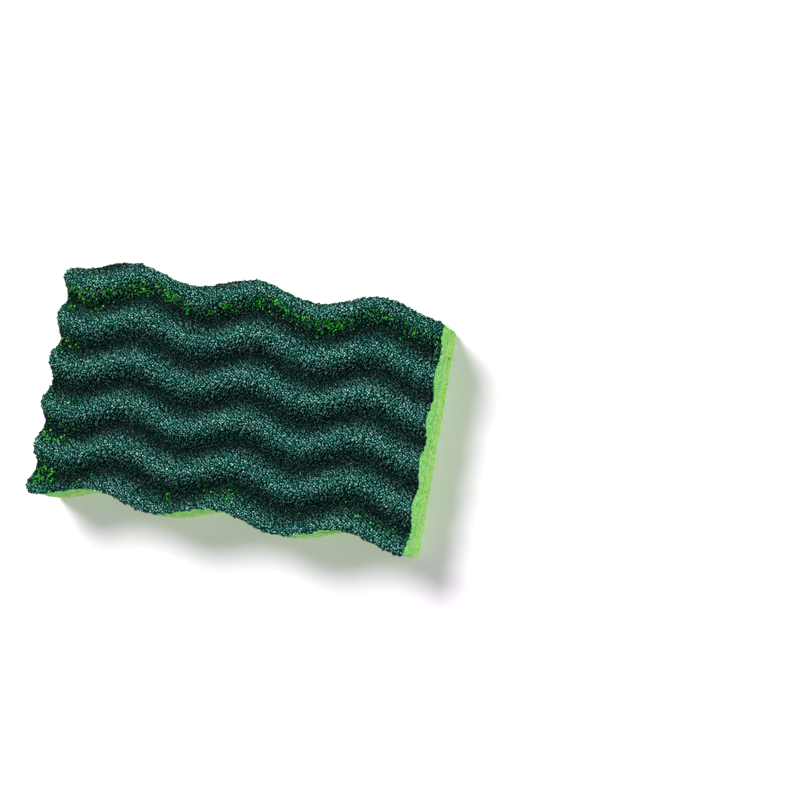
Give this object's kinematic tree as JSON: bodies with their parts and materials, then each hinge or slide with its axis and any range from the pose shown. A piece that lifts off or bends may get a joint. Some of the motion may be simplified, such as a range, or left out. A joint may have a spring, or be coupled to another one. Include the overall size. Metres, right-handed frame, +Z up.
{
  "type": "cleaning sponge",
  "caption": "Flat two-layer cleaning sponge with wavy long edges: a porous cellulose wiping side bonded to foam with a rippled abrasive scrub side.",
  "frame": {"origin": "middle of the bounding box seen from above, on the plane of the wiping face that the sponge lies on", "axes": "+X along the length between the straight cut ends, +Y across the width between the wavy edges, +Z up through the thickness from the wiping face to the scrub side"},
  "size_m": [0.114, 0.0715, 0.024],
  "materials": {
    "cellulose": "soft porous cellulose, bright yellow-green",
    "adhesive": "dried adhesive film, pale yellow-green",
    "foam": "fine open-cell foam, soft green",
    "abrasive_web": "coarse resin-coated abrasive web, very dark teal with glinting grains"
  },
  "bodies": {
    "root": {"cellulose_sponge": "cellulose", "glue_line": "adhesive", "foam_layer": "foam", "scrub_skin": "abrasive_web"}
  },
  "joints": []
}
